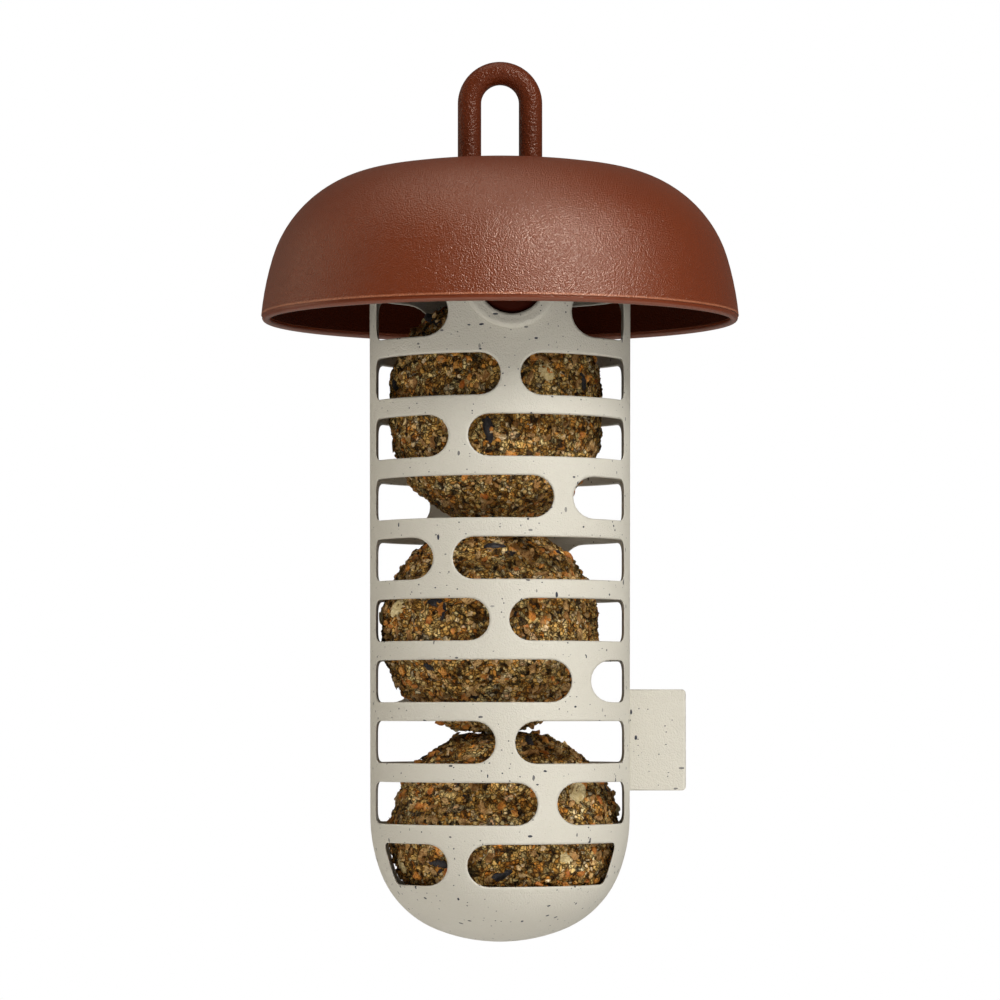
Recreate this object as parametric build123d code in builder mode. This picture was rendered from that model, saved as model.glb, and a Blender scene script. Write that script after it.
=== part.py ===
from build123d import *
import math
import os

os.makedirs("parts", exist_ok=True)

# Hanging suet feeder. The frame's origin is where the hook bears, at the inner top of the loop.
# Everything hangs below it: +Z is up, and -Y is the front. Lengths are in millimetres.

# Hanging loop
loop_rod_diameter = 6.8
loop_gap_width = 10.9
loop_rise = 22.2            # from the roof's crown up to the hook's seat
loop_foot_length = 32.0
loop_foot_width = 12.0
loop_foot_thickness = 3.0
leg_clearance = 0.1         # round each leg, in the crown and in the collar's web

# Roof
roof_radius = 69.0
roof_height = 46.8
roof_wall = 2.5
rim_band_height = 1.7       # plain band along the roof's lower edge
rim_band_step = 0.25
rim_rounding = 1.05
seat_ring_wall = 2.0
seat_ring_inset = 5.65      # from the collar's edge in to the ring
seat_drop = 2.25            # from the roof's inside down to the collar's top edge

# Cage
cage_reach = 24.6           # how far the cage goes up into the roof, past the rim
cage_head_room = 16.57      # from the upper ball up to the cage's top edge
cage_radius = 37.75         # outside, at the top edge
cage_wall = 2.25            # at the top edge
cage_draft = 0.45           # how much narrower the outside is where the bowl begins
bowl_depth = 36.0
bowl_floor = 2.2
cage_lip_rounding = 0.7

# Slots of the cage
slot_pitch = 17.26
slot_height = 11.9
slot_corner = 1.5
slot_end_margin = 0.1       # from the slot's outer end in to the bore
lowest_slot_height = 22.8   # centre of the lowest row above the cage's bottom
bridge_width = 5.5
least_bar_height = 3.0      # between the top row and the one below it
top_slot_height = 14.8
top_slot_level = 24.8       # from the cage's top edge down to the middle of the top row
top_slot_corner = 2.0
top_bridge_width = 34.8

# Latch: a round button on a springy tongue, in a bossed hole, at the front and the rear
latch_turn = 5.0            # degrees that the latches stand off the front
latch_level = 2.2           # from the cage's top edge down to the bosses
latch_hole_radius = 9.45
button_clearance = 0.4
button_bevel = 0.8
button_recess = 0.25        # from the cage's wall in to the button's face
boss_radius = 13.6
boss_rise = 1.2
boss_rounding = 1.0
tongue_width = 20.0
tongue_slit = 0.8
tongue_margin = 2.0         # below the button
hinge_gap = 0.3

# Collar that the cage slips over
collar_clearance = 0.35
collar_wall = 2.2
collar_depth = 13.0         # inside the cage, below its top edge
collar_web = 2.5
stop_flange_height = 2.5
stop_gap = 0.3
stop_margin = 0.15          # from the cage's outer face in to the flange's edge

# Side tab moulded on the cage
tab_reach = 53.5            # from the cage's axis
tab_low = 43.3              # above the cage's bottom
tab_high = 72.35
tab_thickness = 2.2
tab_corner = 1.2
tab_edge = 0.5

# Suet balls: each is a sphere with a short straight belt, which lies along X or stands upright
ball_gap = 0.3
lower_ball_play = 7.2       # from each ball's round part out to the cage's bore
lower_ball_belt = 8.4
lower_ball_shift = (1.0, 0.0)
middle_ball_play = 5.9
middle_ball_belt = 2.8
middle_ball_shift = (-2.9, -0.8)
upper_ball_play = 4.8
upper_ball_belt = 5.4
upper_ball_shift = (-1.2, 0.6)

cut_overrun = 2.0
bowl_samples = 40           # points of each arc of the bowl that the lower ball is rested on

# Where the arcs of the two round outlines meet, as shares of their radius and height: the roof's
# from its crown outwards, and the bowl's from its lowest point outwards
roof_joint_shares = [(0.54, 0.9305), (0.954, 0.386)]
bowl_joint_shares = [(0.48, 0.0936), (0.9244, 0.5625)]

# Middle of the bridge between each row's two front slots, as shares of the bowl's radius, from the
# lowest row upwards
bridge_place_shares = [-0.32, 0.357, 0.04, 0.615, -0.004, -0.43, 0.48, -0.315, 0.08]
top_bridge_place_share = 0.075

# Outer ends of the lowest slots, at their low and high edges, as shares of the bowl's radius
lowest_end_shares = (0.79, 0.885)

# Part of a slot's straight run that its outer corners may take
corner_share = 0.95

# Levels
crown_level = -loop_rise
rim_level = crown_level - roof_height
cage_top = rim_level + cage_reach
button_level = cage_top - latch_level - boss_radius
stop_level = cage_top + stop_gap

leg_offset = (loop_gap_width + loop_rod_diameter) / 2
cage_bore_radius = cage_radius - cage_wall
bowl_radius = cage_radius - cage_draft
collar_radius = cage_bore_radius - collar_clearance
collar_bore = collar_radius - collar_wall
seat_ring_radius = collar_radius - seat_ring_inset
button_radius = latch_hole_radius - button_clearance
lower_ball_radius = cage_bore_radius - lower_ball_play
middle_ball_radius = cage_bore_radius - middle_ball_play
upper_ball_radius = cage_bore_radius - upper_ball_play


def arc_run(start, joints, end):
    """Arcs that leave start level and run on smoothly through the joints to end."""
    direction = (1, 0)
    arcs = []
    for corner in [*joints, end]:
        arcs.append(TangentArc(start, corner, tangent=direction))
        start = corner
        direction = arcs[-1] % 1
    return arcs


def roof_arcs(radius, height, end_level):
    """The roof's outline from its crown down to a level near the rim."""
    joints = [(radius * r, rim_level + height * h) for r, h in roof_joint_shares]
    return arc_run((0, rim_level + height), joints, (radius, end_level))


def bowl_arcs(radius, depth, top):
    """The bowl's outline from its lowest point to where the cage's straight wall begins."""
    joints = [(radius * r, top - depth + depth * h) for r, h in bowl_joint_shares]
    return arc_run((0, top - depth), joints, (radius, top))


def roof_inside_level(radius):
    """The level of the roof's inside at a radius from the axis."""
    for arc in roof_arcs(roof_radius - roof_wall, roof_height - roof_wall, rim_level):
        if (arc @ 1).X >= radius:
            centre = arc.arc_center
            return centre.Y + math.sqrt(arc.radius**2 - (radius - centre.X) ** 2)


def resting_height(radius, reach):
    """How high above the cage's bottom a round end rests in the bowl, at a reach from the axis."""
    heights = []
    for arc in bowl_arcs(cage_bore_radius, bowl_depth - bowl_floor, bowl_depth):
        for point in arc.positions([i / bowl_samples for i in range(bowl_samples + 1)]):
            offset = abs(point.X - reach)
            if offset < radius + ball_gap:
                heights.append(point.Y + math.sqrt((radius + ball_gap) ** 2 - offset**2))
    return max(heights)


# Levels under the roof's crown
ring_top = roof_inside_level(seat_ring_radius - seat_ring_wall) + roof_wall / 2
seat_level = roof_inside_level(collar_radius) - seat_drop
web_level = seat_level - collar_web
tongue_top = web_level - hinge_gap
tongue_bottom = button_level - button_radius - tongue_margin

# Heights of the balls' middles above the cage's bottom: the stack of them gives the cage its height
lower_ball_reach = lower_ball_belt / 2 + abs(lower_ball_shift[0])
lower_ball_height = resting_height(lower_ball_radius, lower_ball_reach)
middle_ball_height = lower_ball_height + lower_ball_radius + ball_gap + middle_ball_radius
upper_ball_base = middle_ball_height + middle_ball_radius + ball_gap
upper_ball_height = upper_ball_base + upper_ball_radius + upper_ball_belt / 2
stack_height = upper_ball_height + upper_ball_radius + upper_ball_belt / 2
cage_height = stack_height + cage_head_room
cage_bottom = cage_top - cage_height
bowl_top = cage_bottom + bowl_depth

# Where the two latches face, as planes whose normals point out through the buttons
turn = math.radians(latch_turn)
front_latch = Plane(
    origin=(0, 0, button_level),
    x_dir=(math.cos(turn), math.sin(turn), 0),
    z_dir=(math.sin(turn), -math.cos(turn), 0),
)
rear_latch = Plane(
    origin=(0, 0, button_level),
    x_dir=(-math.cos(turn), -math.sin(turn), 0),
    z_dir=(-math.sin(turn), math.cos(turn), 0),
)
latches = {"front": front_latch, "rear": rear_latch}

# The slots are drawn as seen from the front, and the same drawing turned half round cuts the rear
front_face = Plane.XZ
rear_face = Plane(origin=(0, 0, 0), x_dir=(-1, 0, 0), z_dir=(0, 1, 0))


def curved_disc(place, radius, face_radius, edge, bevelled):
    """A round pad on a place's axis, whose face follows a cylinder about Z."""
    with BuildPart() as disc:
        with BuildSketch(place.offset(collar_bore)):
            Circle(radius)
        extrude(amount=face_radius)
        with BuildSketch(Plane.XY.offset(place.origin.Z - boss_radius)):
            Circle(face_radius)
        extrude(amount=2 * boss_radius, mode=Mode.INTERSECT)
        rim = disc.edges().sort_by(lambda e: e.center().dot(place.z_dir))[-1]
        if bevelled:
            chamfer(rim, edge)
        else:
            fillet(rim, edge)
    return disc.part


def slot(side, inner_end, low, high, end_low, end_high, corner):
    """One slot as seen from the front: a round inner end, and a straight outer one."""
    middle = (low + high) / 2
    shoulder = inner_end + (high - low) / 2
    straight = min(end_low, end_high) - shoulder
    with BuildSketch() as outline:
        with BuildLine():
            Line((side * shoulder, high), (side * end_high, high))
            Line((side * end_high, high), (side * end_low, low))
            Line((side * end_low, low), (side * shoulder, low))
            ThreePointArc((side * shoulder, low), (side * inner_end, middle), (side * shoulder, high))
        make_face()
        ends = outline.vertices().sort_by(lambda v: side * v.X)[-2:]
        fillet(ends, min(corner, straight * corner_share))
    return outline.sketch


# Roof
with BuildPart() as roof:
    with BuildSketch(Plane.XZ):
        with BuildLine():
            band_level = rim_level + rim_band_height
            band_radius = roof_radius - rim_band_step
            inner_radius = roof_radius - roof_wall
            inner_height = roof_height - roof_wall
            roof_arcs(roof_radius, roof_height, band_level)
            roof_arcs(inner_radius, inner_height, band_level)
            Polyline(
                (roof_radius, band_level),
                (band_radius, band_level),
                (band_radius, rim_level),
                (inner_radius, rim_level),
                (inner_radius, band_level),
            )
            Line((0, rim_level + inner_height), (0, crown_level))
        make_face()
    revolve(axis=Axis.Z)
    rim_edges = roof.edges().group_by(Axis.Z)[0]
    fillet(rim_edges, rim_rounding)
    with BuildSketch(Plane.XY.offset(seat_level)):
        Circle(seat_ring_radius)
        Circle(seat_ring_radius - seat_ring_wall, mode=Mode.SUBTRACT)
    extrude(amount=ring_top - seat_level)
    with BuildSketch(Plane.XY.offset(rim_level)):
        with GridLocations(2 * leg_offset, 0, 2, 1):
            Circle(loop_rod_diameter / 2 + leg_clearance)
    extrude(amount=roof_height + cut_overrun, mode=Mode.SUBTRACT)
roof.part.label = "roof"
export_step(roof.part, "parts/roof.step")

# Hanging loop: a bent round rod on a foot that holds the collar and the roof up
with BuildPart() as hanging_loop:
    bend_level = -loop_gap_width / 2
    foot_top = web_level
    with BuildLine(Plane.XZ) as rod_line:
        Line((-leg_offset, foot_top), (-leg_offset, bend_level))
        ThreePointArc((-leg_offset, bend_level), (0, bend_level + leg_offset), (leg_offset, bend_level))
        Line((leg_offset, bend_level), (leg_offset, foot_top))
    with BuildSketch(Plane(origin=(-leg_offset, 0, foot_top))):
        Circle(loop_rod_diameter / 2)
    sweep(path=rod_line.line)
    with BuildSketch(Plane.XY.offset(foot_top - loop_foot_thickness)):
        SlotOverall(loop_foot_length, loop_foot_width)
    extrude(amount=loop_foot_thickness)
hanging_loop.part.label = "hanging_loop"
export_step(hanging_loop.part, "parts/hanging_loop.step")

# Latch collar: a cap under the roof's seat ring, with a skirt inside the cage and a stop above it
with BuildPart() as latch_collar:
    skirt_bottom = cage_top - collar_depth
    with BuildSketch(Plane.XZ):
        with BuildLine():
            Polyline(
                (0, seat_level),
                (collar_radius, seat_level),
                (collar_radius, stop_level + stop_flange_height),
                (cage_radius - stop_margin, stop_level + stop_flange_height),
                (cage_radius - stop_margin, stop_level),
                (collar_radius, stop_level),
                (collar_radius, skirt_bottom),
                (collar_bore, skirt_bottom),
                (collar_bore, web_level),
                (0, web_level),
                close=True,
            )
        make_face()
    revolve(axis=Axis.Z)
    for place in latches.values():
        with BuildSketch(place):
            with BuildLine():
                side = tongue_width / 2 + tongue_slit
                low = skirt_bottom - cut_overrun - button_level
                high = web_level - button_level
                Polyline((-side, low), (side, low), (side, high), (-side, high), close=True)
            make_face()
        extrude(amount=cage_radius + cut_overrun, mode=Mode.SUBTRACT)
    with BuildSketch(Plane.XY.offset(web_level)):
        with GridLocations(2 * leg_offset, 0, 2, 1):
            Circle(loop_rod_diameter / 2 + leg_clearance)
    extrude(amount=collar_web, mode=Mode.SUBTRACT)
latch_collar.part.label = "latch_collar"
export_step(latch_collar.part, "parts/latch_collar.step")


# Latch tongues: a strip of the collar's own curve, which carries the round button
def latch_tongue(place):
    button = curved_disc(place, button_radius, bowl_radius - button_recess, button_bevel, True)
    with BuildPart() as tongue:
        with BuildSketch(place):
            with BuildLine():
                side = tongue_width / 2
                low = tongue_bottom - button_level
                high = tongue_top - button_level
                Polyline((-side, low), (side, low), (side, high), (-side, high), close=True)
            strip = make_face()
            fillet(strip.vertices().group_by(Axis.Y)[0], tongue_width / 2 - tongue_margin)
        extrude(amount=collar_radius + cut_overrun)
        with BuildSketch(Plane.XY.offset(tongue_bottom)):
            Circle(collar_radius)
            Circle(collar_bore, mode=Mode.SUBTRACT)
        extrude(amount=tongue_top - tongue_bottom, mode=Mode.INTERSECT)
        add(button)
    return tongue.part


for name, place in latches.items():
    tongue_part = latch_tongue(place)
    tongue_part.label = f"latch_{name}"
    export_step(tongue_part, f"parts/latch_{name}.step")

# Cage: one moulding, with its rows of slots, the two latch bosses and the side tab
with BuildPart() as side_tab:
    with BuildSketch(front_face):
        with BuildLine():
            tab_lowest = cage_bottom + tab_low
            tab_highest = cage_bottom + tab_high
            Polyline(
                (cage_bore_radius, tab_lowest),
                (tab_reach, tab_lowest),
                (tab_reach, tab_highest),
                (cage_bore_radius, tab_highest),
                close=True,
            )
        tab_face = make_face()
        fillet(tab_face.vertices().sort_by(Axis.X)[-2:], tab_corner)
    extrude(amount=tab_thickness / 2, both=True)
    outer_faces = side_tab.faces().filter_by(Axis.Y)
    fillet(outer_faces.edges(), tab_edge)

bosses = [curved_disc(p, boss_radius, cage_radius + boss_rise, boss_rounding, False) for p in latches.values()]
with BuildPart() as cage:
    with BuildSketch(Plane.XZ):
        with BuildLine():
            bowl_arcs(bowl_radius, bowl_depth, bowl_top)
            Polyline((bowl_radius, bowl_top), (cage_radius, cage_top), (0, cage_top), (0, cage_bottom))
        make_face()
    revolve(axis=Axis.Z)
    add(bosses)
    add(side_tab.part)
    with BuildSketch(Plane.XZ):
        with BuildLine():
            bowl_arcs(cage_bore_radius, bowl_depth - bowl_floor, bowl_top)
            Polyline(
                (cage_bore_radius, bowl_top),
                (cage_bore_radius, cage_top),
                (0, cage_top),
                (0, cage_bottom + bowl_floor),
            )
        make_face()
    revolve(axis=Axis.Z, mode=Mode.SUBTRACT)
    lip_edges = cage.edges().group_by(Axis.Z)[-1]
    fillet(lip_edges, cage_lip_rounding)
    for place in latches.values():
        with BuildSketch(place):
            Circle(latch_hole_radius)
        extrude(amount=cage_radius + boss_rise + cut_overrun, mode=Mode.SUBTRACT)
    slot_end = cage_bore_radius - slot_end_margin
    lowest_row = cage_bottom + lowest_slot_height
    top_row = cage_top - top_slot_level
    rows_room = top_row - top_slot_height / 2 - least_bar_height - slot_height / 2 - lowest_row
    row_count = int(rows_room / slot_pitch) + 1
    for plane in (front_face, rear_face):
        with BuildSketch(plane):
            for row in range(row_count):
                place_share = bridge_place_shares[row % len(bridge_place_shares)]
                middle = lowest_row + slot_pitch * row
                low = middle - slot_height / 2
                high = middle + slot_height / 2
                end_low = slot_end
                end_high = slot_end
                if row == 0:
                    end_low, end_high = [bowl_radius * share for share in lowest_end_shares]
                bridge = bowl_radius * place_share
                for side in (-1, 1):
                    inner_end = side * bridge + bridge_width / 2
                    add(slot(side, inner_end, low, high, end_low, end_high, slot_corner))
            low = top_row - top_slot_height / 2
            high = top_row + top_slot_height / 2
            bridge = bowl_radius * top_bridge_place_share
            for side in (-1, 1):
                inner_end = side * bridge + top_bridge_width / 2
                add(slot(side, inner_end, low, high, slot_end, slot_end, top_slot_corner))
        extrude(amount=cage_radius + cut_overrun, mode=Mode.SUBTRACT)
cage.part.label = "cage"
export_step(cage.part, "parts/cage.step")


# Suet balls: pressed seed balls, one on top of the other
def suet_ball(radius, belt, centre, belt_axis):
    """A ball about a centre, with its belt along the belt axis."""
    with BuildPart() as ball:
        with BuildSketch(Plane(origin=centre, x_dir=belt_axis, z_dir=(0, -1, 0))):
            with BuildLine():
                half = belt / 2
                RadiusArc((-half - radius, 0), (-half, radius), radius)
                Line((-half, radius), (half, radius))
                RadiusArc((half, radius), (half + radius, 0), radius)
                Line((half + radius, 0), (-half - radius, 0))
            make_face()
        revolve(axis=Axis(centre, belt_axis))
    return ball.part


lying = (1, 0, 0)
upright = (0, 0, 1)
lower_ball_centre = (*lower_ball_shift, cage_bottom + lower_ball_height)
middle_ball_centre = (*middle_ball_shift, cage_bottom + middle_ball_height)
upper_ball_centre = (*upper_ball_shift, cage_bottom + upper_ball_height)

suet_ball_lower = suet_ball(lower_ball_radius, lower_ball_belt, lower_ball_centre, lying)
suet_ball_lower.label = "suet_ball_lower"
export_step(suet_ball_lower, "parts/suet_ball_lower.step")

suet_ball_middle = suet_ball(middle_ball_radius, middle_ball_belt, middle_ball_centre, lying)
suet_ball_middle.label = "suet_ball_middle"
export_step(suet_ball_middle, "parts/suet_ball_middle.step")

suet_ball_upper = suet_ball(upper_ball_radius, upper_ball_belt, upper_ball_centre, upright)
suet_ball_upper.label = "suet_ball_upper"
export_step(suet_ball_upper, "parts/suet_ball_upper.step")
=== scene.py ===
import math
import random

import bpy
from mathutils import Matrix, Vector
from mathutils.geometry import delaunay_2d_cdt


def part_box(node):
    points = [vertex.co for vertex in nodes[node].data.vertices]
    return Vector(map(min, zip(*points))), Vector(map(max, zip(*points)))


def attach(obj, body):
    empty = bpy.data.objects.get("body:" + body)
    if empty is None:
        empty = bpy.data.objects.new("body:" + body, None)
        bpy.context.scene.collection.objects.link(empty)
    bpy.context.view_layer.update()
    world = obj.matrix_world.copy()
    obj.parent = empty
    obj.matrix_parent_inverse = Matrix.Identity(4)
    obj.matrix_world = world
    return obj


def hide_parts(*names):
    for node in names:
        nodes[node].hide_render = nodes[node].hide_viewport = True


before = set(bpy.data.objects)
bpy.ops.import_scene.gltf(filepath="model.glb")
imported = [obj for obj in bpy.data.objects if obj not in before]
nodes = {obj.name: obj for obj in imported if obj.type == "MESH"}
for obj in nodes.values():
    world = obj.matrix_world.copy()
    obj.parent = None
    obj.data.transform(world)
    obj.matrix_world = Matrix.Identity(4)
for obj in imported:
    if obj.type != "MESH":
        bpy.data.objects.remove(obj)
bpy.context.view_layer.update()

scene = bpy.context.scene
print("frame loaded")


# small helpers

def deselectAll():
    if bpy.context.object and bpy.context.object.mode != "OBJECT":
        bpy.ops.object.mode_set(mode="OBJECT")
    bpy.ops.object.select_all(action="DESELECT")


def pick(obj):
    deselectAll()
    obj.select_set(True)
    bpy.context.view_layer.objects.active = obj


def applyAll(obj):
    pick(obj)
    for modifier in list(obj.modifiers):
        bpy.ops.object.modifier_apply(modifier=modifier.name)


def placeInMesh(obj):
    pick(obj)
    bpy.ops.object.transform_apply(location=True, rotation=True, scale=True)


# materials: nodes are added and wired by these

def addNode(tree, kind, inputs=None, **settings):
    node = tree.nodes.new(kind)
    for name, value in settings.items():
        setattr(node, name, value)
    for name, value in (inputs or {}).items():
        socket = node.inputs[name]
        if isinstance(value, bpy.types.NodeSocket):
            tree.links.new(value, socket)
        else:
            socket.default_value = value
    return node


def maths(tree, operation, first, second=0.0, clamp=False):
    node = addNode(tree, "ShaderNodeMath", {0: first, 1: second}, operation=operation, use_clamp=clamp)
    return node.outputs[0]


def mapped(tree, value, low=0.0, high=1.0, first=0.0, last=1.0, **settings):  # from low..high to first..last
    node = addNode(tree, "ShaderNodeMapRange", {"Value": value, "From Min": low, "From Max": high,
                                                "To Min": first, "To Max": last}, **settings)
    return node.outputs["Result"]


def vectorMaths(tree, operation, inputs, output=0):
    return addNode(tree, "ShaderNodeVectorMath", inputs, operation=operation).outputs[output]


def noise(tree, place, scale, detail):
    return addNode(tree, "ShaderNodeTexNoise", {"Vector": place, "Scale": scale, "Detail": detail})


def warped(tree, place, scale, detail, amount):  # the place, shifted by noise
    shift = vectorMaths(tree, "SUBTRACT", {0: noise(tree, place, scale, detail).outputs["Color"], 1: (0.5, 0.5, 0.5)})
    return vectorMaths(tree, "ADD", {0: place, 1: vectorMaths(tree, "SCALE", {0: shift, "Scale": amount})})


def steppedRamp(tree, factor, stops):
    node = addNode(tree, "ShaderNodeValToRGB", {"Fac": factor})
    band = node.color_ramp
    band.interpolation = "CONSTANT"
    while len(band.elements) > 1:
        band.elements.remove(band.elements[-1])
    band.elements[0].position, band.elements[0].color = stops[0][0], grey(stops[0][1])
    for place, colour in stops[1:]:
        band.elements.new(place).color = grey(colour)
    return node.outputs["Color"]


def grey(colour):  # a colour with its alpha, from a level or a colour; a socket stays as it is
    if isinstance(colour, bpy.types.NodeSocket):
        return colour
    if isinstance(colour, (int, float)):
        return (colour, colour, colour, 1)
    return (*colour[:3], 1)


def blend(tree, factor, first, second):
    inputs = {0: factor, 6: grey(first), 7: grey(second)}  # of the node's inputs, 6 and 7 are the two colours
    return addNode(tree, "ShaderNodeMix", inputs, data_type="RGBA").outputs[2]


def newGroup(name, inputs, outputs):
    tree = bpy.data.node_groups.new(name, "ShaderNodeTree")
    for way, sockets in (("INPUT", inputs), ("OUTPUT", outputs)):
        for label, kind in sockets:
            tree.interface.new_socket(label, in_out=way, socket_type=kind)
    return tree, tree.nodes.new("NodeGroupInput"), tree.nodes.new("NodeGroupOutput")


def newMaterial(name, roughness, specular=0.5):
    material = bpy.data.materials.new(name)
    material.use_nodes = True
    tree = material.node_tree
    shader = tree.nodes["Principled BSDF"]
    shader.inputs["Roughness"].default_value = roughness
    shader.inputs["Specular IOR Level"].default_value = specular
    return material, tree, shader, tree.nodes.new("ShaderNodeTexCoord").outputs["Object"]


def colourAndBump(tree, shader, colour, height, depth):
    tree.links.new(colour, shader.inputs["Base Color"])
    bump = addNode(tree, "ShaderNodeBump", {"Height": height, "Distance": depth})
    tree.links.new(bump.outputs["Normal"], shader.inputs["Normal"])
    return bump


def dress(obj, material):
    obj.data.materials.clear()
    obj.data.materials.append(material)


# camera: level with the lower half of the feeder, tilted up a little

cameraView = {"distance": 1.2672, "height": -0.18145, "tilt": 2.757, "lens": 158.2, "sensor": 36}


def makeCamera():
    data = bpy.data.cameras.new("camera")
    camera = bpy.data.objects.new("camera", data)
    scene.collection.objects.link(camera)
    camera.location = (0, -cameraView["distance"], cameraView["height"])
    camera.rotation_euler = (math.radians(90 + cameraView["tilt"]), 0, 0)
    data.lens = cameraView["lens"]
    data.sensor_width = cameraView["sensor"]
    scene.camera = camera


makeCamera()
scene.view_settings.view_transform = "Standard"
print("camera placed")


# studio: soft boxes round the hanging feeder, a white surround, and a pale floor some way below it

boxes = {
    "key": {"from": (0.64, -0.96, 0.68), "size": (0.34, 0.42), "power": 14.6, "tint": (1, 0.99, 0.975)},
    "fill": {"from": (-1.15, 0.12, 0.12), "size": (0.7, 1.0), "power": 3.7, "tint": (1, 0.96, 0.90), "matt": True},
    "shoulder": {"from": (-1.0, 0.35, 0.26), "size": (0.6, 0.6), "power": 0.85, "tint": (1, 0.90, 0.72)},
    "side": {"from": (1.15, -0.35, 0.02), "size": (0.4, 0.5), "power": 2.6, "tint": (1, 0.98, 0.95), "matt": True},
    "top": {"from": (-0.15, -0.1, 1.1), "size": (0.9, 0.9), "power": 4.0, "tint": (1, 0.95, 0.87)},
    "low": {"from": (-0.14, -0.75, -0.33), "size": (0.9, 0.16), "power": 1.9, "tint": (1, 0.97, 0.93), "matt": True},
}
surround = {"above": 0.12, "below": 0.12, "horizon": (-0.3, 0.4), "aim": (0, 0, -0.13), "tint": (1, 0.92, 0.79)}
floor = {"level": -0.42, "reach": 6.0, "near": 0.3, "far": 0.75, "colour": 0.86, "bounce": 0.80, "roughness": 0.9}


def makeStudio():
    for name, box in boxes.items():
        data = bpy.data.lights.new(name, "AREA")
        data.shape = "RECTANGLE"
        data.size, data.size_y = box["size"]
        data.energy = box["power"]
        data.color = box["tint"]
        light = bpy.data.objects.new(name, data)
        scene.collection.objects.link(light)
        light.visible_glossy = "matt" not in box
        light.location = box["from"]
        aim = Vector(surround["aim"]) - light.location
        light.rotation_euler = aim.to_track_quat("-Z", "Y").to_euler()
    world = bpy.data.worlds.new("surround")
    world.use_nodes = True
    scene.world = world
    tree = world.node_tree
    path = tree.nodes.new("ShaderNodeLightPath")
    heading = tree.nodes.new("ShaderNodeTexCoord").outputs["Generated"]
    upward = addNode(tree, "ShaderNodeSeparateXYZ", {0: heading}).outputs["Z"]  # a varying surround renders less grainy
    ambient = mapped(tree, upward, *surround["horizon"], surround["below"], surround["above"],
                     interpolation_type="SMOOTHSTEP")
    strength = maths(tree, "MAXIMUM", path.outputs["Is Camera Ray"], ambient)
    background = tree.nodes["Background"]
    tint = blend(tree, path.outputs["Is Camera Ray"], surround["tint"], (1, 1, 1))
    tree.links.new(tint, background.inputs["Color"])
    tree.links.new(strength, background.inputs["Strength"])


def makeFloor():
    deselectAll()
    bpy.ops.mesh.primitive_plane_add(size=2 * floor["reach"], location=(0, 0, floor["level"]))
    plane = bpy.context.object
    plane.name = "floor"
    placeInMesh(plane)
    material, tree, shader, place = newMaterial("floor_paper", floor["roughness"])
    sight = tree.nodes.new("ShaderNodeLightPath").outputs["Is Camera Ray"]
    tree.links.new(blend(tree, sight, floor["bounce"], floor["colour"]), shader.inputs["Base Color"])
    distance = vectorMaths(tree, "LENGTH", {0: vectorMaths(tree, "MULTIPLY", {0: place, 1: (1, 1, 0)})}, "Value")
    fade = mapped(tree, distance, floor["near"], floor["far"], interpolation_type="SMOOTHSTEP")
    white = addNode(tree, "ShaderNodeEmission", {"Color": (1, 1, 1, 1)})
    lit = tree.nodes.new("ShaderNodeMixShader")
    tree.links.new(maths(tree, "MULTIPLY", fade, sight), lit.inputs[0])
    tree.links.new(shader.outputs[0], lit.inputs[1])
    tree.links.new(white.outputs[0], lit.inputs[2])
    clear = tree.nodes.new("ShaderNodeBsdfTransparent")  # seen from below, the floor lets the view through
    underside = tree.nodes.new("ShaderNodeNewGeometry")
    seen = tree.nodes.new("ShaderNodeMixShader")
    tree.links.new(underside.outputs["Backfacing"], seen.inputs[0])
    tree.links.new(lit.outputs[0], seen.inputs[1])
    tree.links.new(clear.outputs[0], seen.inputs[2])
    tree.links.new(seen.outputs[0], tree.nodes["Material Output"].inputs["Surface"])
    plane.data.materials.append(material)


makeStudio()
makeFloor()
print("studio lit")


# moulded plastic grain, shared by the roof, the loop, the latch parts and the cage

mould = {"warp": (420.0, 2.0, 0.0011), "smoothness": 0.6, "pit": 1.3, "fine": 2600.0, "fineDetail": 3.0,
         "fineShare": 0.3}


def makeGrainGroup():
    tree, given, result = newGroup(
        "moulded_grain",
        [("Vector", "NodeSocketVector"), ("Cell", "NodeSocketFloat"), ("Fine", "NodeSocketFloat"),
         ("Fine Share", "NodeSocketFloat")],
        [("Height", "NodeSocketFloat"), ("Pit Shade", "NodeSocketFloat")],
    )
    place = given.outputs["Vector"]
    cells = addNode(tree, "ShaderNodeTexVoronoi", {"Vector": warped(tree, place, *mould["warp"]),
                                                   "Scale": given.outputs["Cell"],
                                                   "Smoothness": mould["smoothness"]}, feature="SMOOTH_F1")
    dome = maths(tree, "SUBTRACT", 1.0, cells.outputs["Distance"])
    fine = noise(tree, place, given.outputs["Fine"], mould["fineDetail"])
    fineHeight = maths(tree, "MULTIPLY", fine.outputs["Fac"], given.outputs["Fine Share"])
    height = maths(tree, "ADD", dome, fineHeight)
    tree.links.new(height, result.inputs["Height"])
    # Pit Shade is highest in the hollows between the grain's cells, for painting shade into them
    tree.links.new(maths(tree, "MULTIPLY", cells.outputs["Distance"], mould["pit"], True), result.inputs["Pit Shade"])
    return tree


grainGroup = makeGrainGroup()


def grained(tree, place, facts):
    return addNode(tree, "ShaderNodeGroup", {"Vector": place, "Cell": facts["cell"],
                                             "Fine": facts.get("fine", mould["fine"]),
                                             "Fine Share": facts.get("fineShare", mould["fineShare"])},
                   node_tree=grainGroup)


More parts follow.
